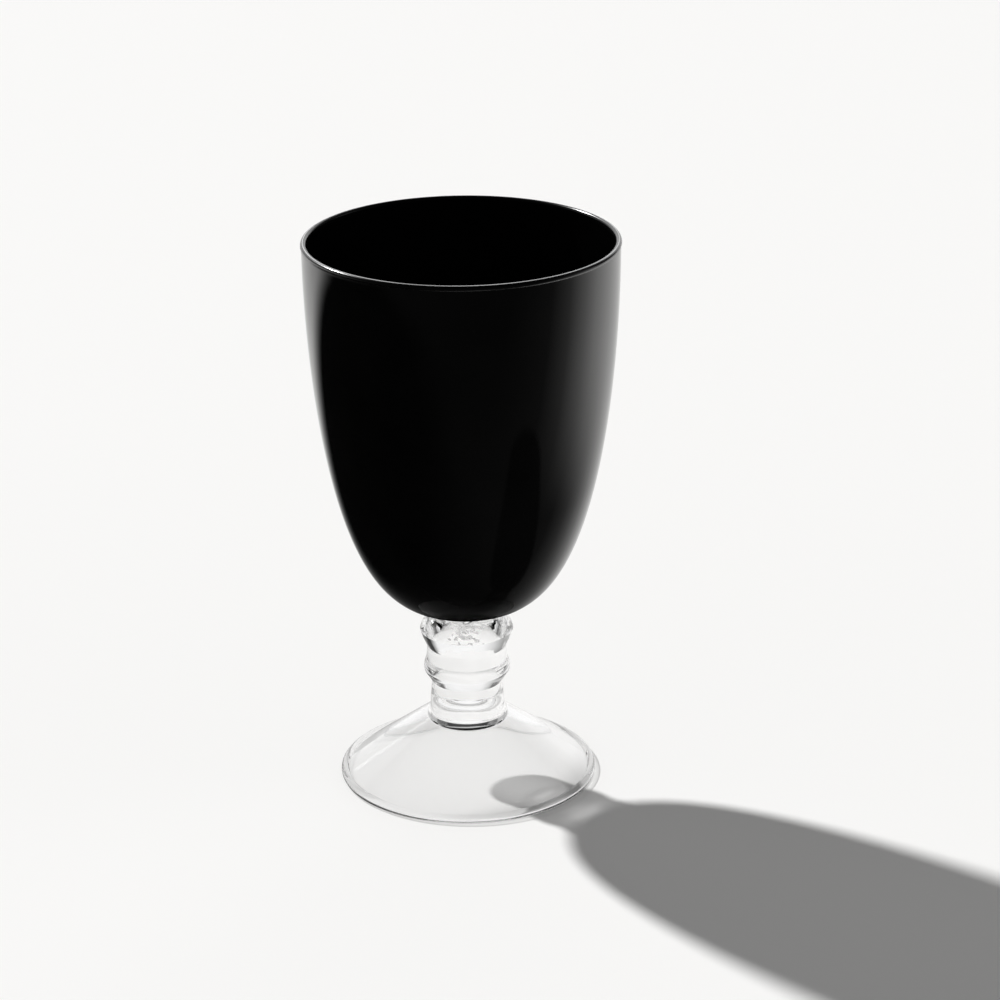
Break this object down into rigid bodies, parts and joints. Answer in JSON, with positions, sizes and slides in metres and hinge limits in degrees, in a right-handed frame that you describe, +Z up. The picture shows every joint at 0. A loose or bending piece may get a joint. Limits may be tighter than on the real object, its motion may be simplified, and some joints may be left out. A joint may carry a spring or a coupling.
{
  "type": "water goblet",
  "caption": "Stemmed drinking glass with a deep opaque black bowl on a short clear stem of stacked rings and a hollow conical clear foot, for serving water at table",
  "frame": {"origin": "centre of the foot on the table plane, under the axis of revolution", "axes": "+Z up along the axis of revolution, from the foot to the rim; X and Y are free, the goblet is round"},
  "size_m": [0.085, 0.085, 0.1545],
  "materials": {
    "black_glass": "opaque black glass, fire polished to a high gloss",
    "clear_glass": "clear colourless glass, fire polished"
  },
  "bodies": {
    "root": {"bowl": "black_glass", "upper_knop": "clear_glass", "neck_collar": "clear_glass", "lower_knop": "clear_glass", "stem_column": "clear_glass", "foot": "clear_glass"}
  },
  "joints": []
}
